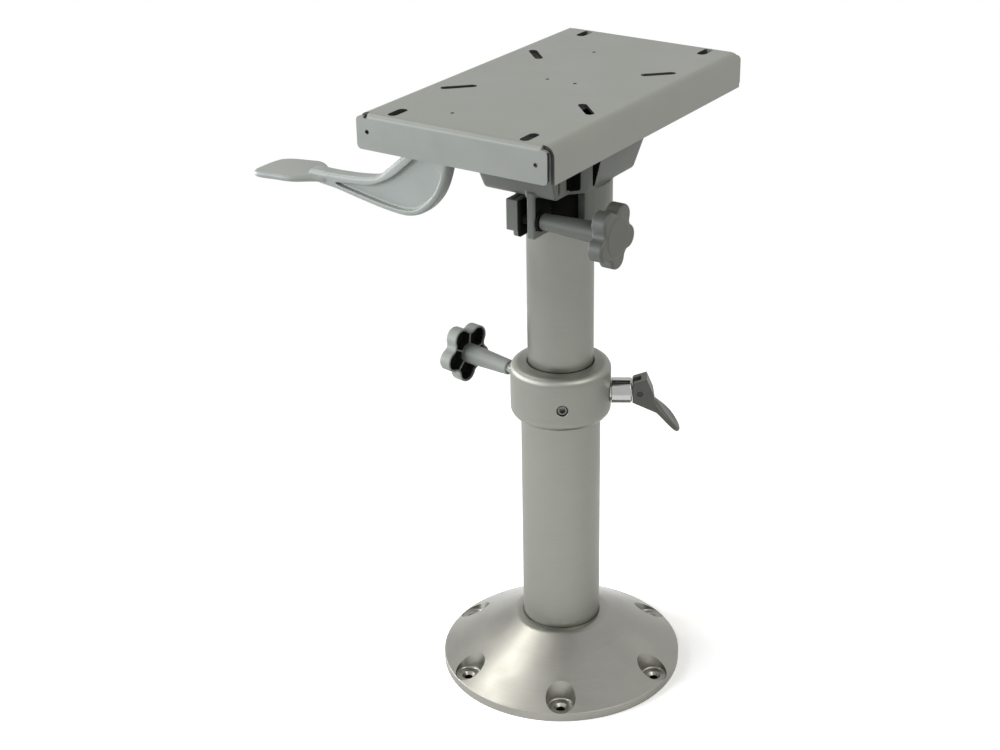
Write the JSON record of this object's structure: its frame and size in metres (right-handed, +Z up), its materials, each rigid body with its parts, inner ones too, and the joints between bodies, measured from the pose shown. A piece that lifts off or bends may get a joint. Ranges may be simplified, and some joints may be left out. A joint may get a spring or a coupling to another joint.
{
  "type": "boat seat pedestal",
  "caption": "Height-adjustable boat seat pedestal: cone base, telescopic post, lock collar, swivel head, and a seat plate on a lever-released slide.",
  "frame": {"origin": "centre of the base's underside, which rests on the deck", "axes": "+Z up along the post; Y along the seat slide; the release lever sticks out towards -X at the -Y end"},
  "size_m": [0.3098, 0.337, 0.576],
  "materials": {
    "spun_aluminium": "turned and clear anodised, with fine rings from the lathe",
    "tube_aluminium": "drawn tube, satin anodised",
    "collar_aluminium": "turned, satin anodised",
    "cast_head": "die-cast, grey powder coat",
    "painted_sheet": "folded sheet, silver-grey powder coat",
    "knob_plastic": "moulded, satin",
    "knob_plastic_dark": "moulded, satin",
    "lever_plastic": "moulded, satin",
    "cam_plastic": "moulded, glass-filled, satin",
    "black_nylon": "moulded nylon",
    "white_nylon": "moulded nylon",
    "chrome": "polished chrome plate",
    "zinc_steel": "zinc plated",
    "socket_screw_steel": "plain stainless steel",
    "spring_steel": "plain spring wire"
  },
  "bodies": {
    "base": {"base_flange": "spun_aluminium", "outer_tube": "tube_aluminium", "collar_guide_bush": "white_nylon", "collar": "collar_aluminium", "set_screw_front": "socket_screw_steel", "set_screw_back": "socket_screw_steel", "lock_barrel": "chrome", "lock_spring": "spring_steel"},
    "lock_pad_body": {"lock_pad": "white_nylon"},
    "lock_knob_body": {"lock_knob": "knob_plastic", "lock_screw": "zinc_steel"},
    "lock_pin_body": {"lock_pin": "zinc_steel"},
    "cam_lever_body": {"cam_lever": "cam_plastic", "cam_pivot_pin": "zinc_steel"},
    "post": {"inner_tube": "tube_aluminium", "guide_foot": "white_nylon", "swivel_sleeve": "black_nylon", "thrust_disc": "white_nylon"},
    "head": {"head_casting": "cast_head", "clamp_nut": "cast_head", "slide_base_plate": "zinc_steel", "slide_screw_front_left": "zinc_steel", "slide_screw_front_right": "zinc_steel", "slide_screw_back_left": "zinc_steel", "slide_screw_back_right": "zinc_steel", "lower_rail_left": "zinc_steel", "lower_rail_right": "zinc_steel", "glide_left_front": "white_nylon", "glide_left_back": "white_nylon", "glide_right_front": "white_nylon", "glide_right_back": "white_nylon", "latch_rack": "zinc_steel"},
    "clamp_washer_body": {"clamp_washer": "zinc_steel"},
    "clamp_knob_body": {"clamp_knob": "knob_plastic_dark", "clamp_bolt": "zinc_steel"},
    "seat": {"seat_plate": "painted_sheet", "upper_rail_left": "zinc_steel", "upper_rail_right": "zinc_steel", "rod_bracket_front": "zinc_steel", "rod_bracket_back": "zinc_steel"},
    "release_lever_body": {"release_lever": "lever_plastic", "latch_rod": "zinc_steel", "lever_screw": "zinc_steel", "latch_pawl": "zinc_steel", "return_spring": "spring_steel"}
  },
  "joints": [
    {"name": "height_slide", "type": "slide", "parent": "base", "child": "post", "axis": [0, 0, 1], "range_m": [-0.11, 0.06]},
    {"name": "head_swivel", "type": "hinge", "parent": "post", "child": "head", "pos_m": [0, 0, 0.49], "axis": [0, 0, 1], "continuous": true},
    {"name": "seat_slide", "type": "slide", "parent": "head", "child": "seat", "axis": [0, 1, 0], "range_m": [-0.06, 0.06]},
    {"name": "release_lever_lift", "type": "hinge", "parent": "seat", "child": "release_lever_body", "pos_m": [-0.02, -0.15, 0.553], "axis": [0, 1, 0], "range_deg": [0, 12], "stiffness_Nm_per_rad": 1.5, "springref_deg": -8.59},
    {"name": "clamp_knob_travel", "type": "slide", "parent": "head", "child": "clamp_washer_body", "axis": [1, 0, 0], "range_m": [0, 0.003]},
    {"name": "clamp_knob_turn", "type": "hinge", "parent": "clamp_washer_body", "child": "clamp_knob_body", "pos_m": [0.014, -0.05, 0.468], "axis": [1, 0, 0], "range_deg": [0, 720]},
    {"name": "lock_knob_travel", "type": "slide", "parent": "base", "child": "lock_pad_body", "axis": [-0.989, 0.1478, 0], "range_m": [0, 0.003]},
    {"name": "lock_knob_turn", "type": "hinge", "parent": "lock_pad_body", "child": "lock_knob_body", "pos_m": [-0.0609, 0.0091, 0.2898], "axis": [-0.989, 0.1478, 0], "range_deg": [0, 720]},
    {"name": "lock_pin_pull", "type": "slide", "parent": "base", "child": "lock_pin_body", "axis": [0.8616, 0.5075, 0], "range_m": [0, 0.014]},
    {"name": "cam_lever_lift", "type": "hinge", "parent": "lock_pin_body", "child": "cam_lever_body", "pos_m": [0.0623, 0.03669, 0.286], "axis": [0.5075, -0.8616, 0], "range_deg": [0, 50]}
  ],
  "couplings": [
    {"joint": "clamp_knob_travel", "follows": "clamp_knob_turn", "m_per_rad": 0.00023873},
    {"joint": "lock_knob_travel", "follows": "lock_knob_turn", "m_per_rad": 0.00023873},
    {"joint": "lock_pin_pull", "follows": "cam_lever_lift", "m_per_rad": 0.016}
  ]
}
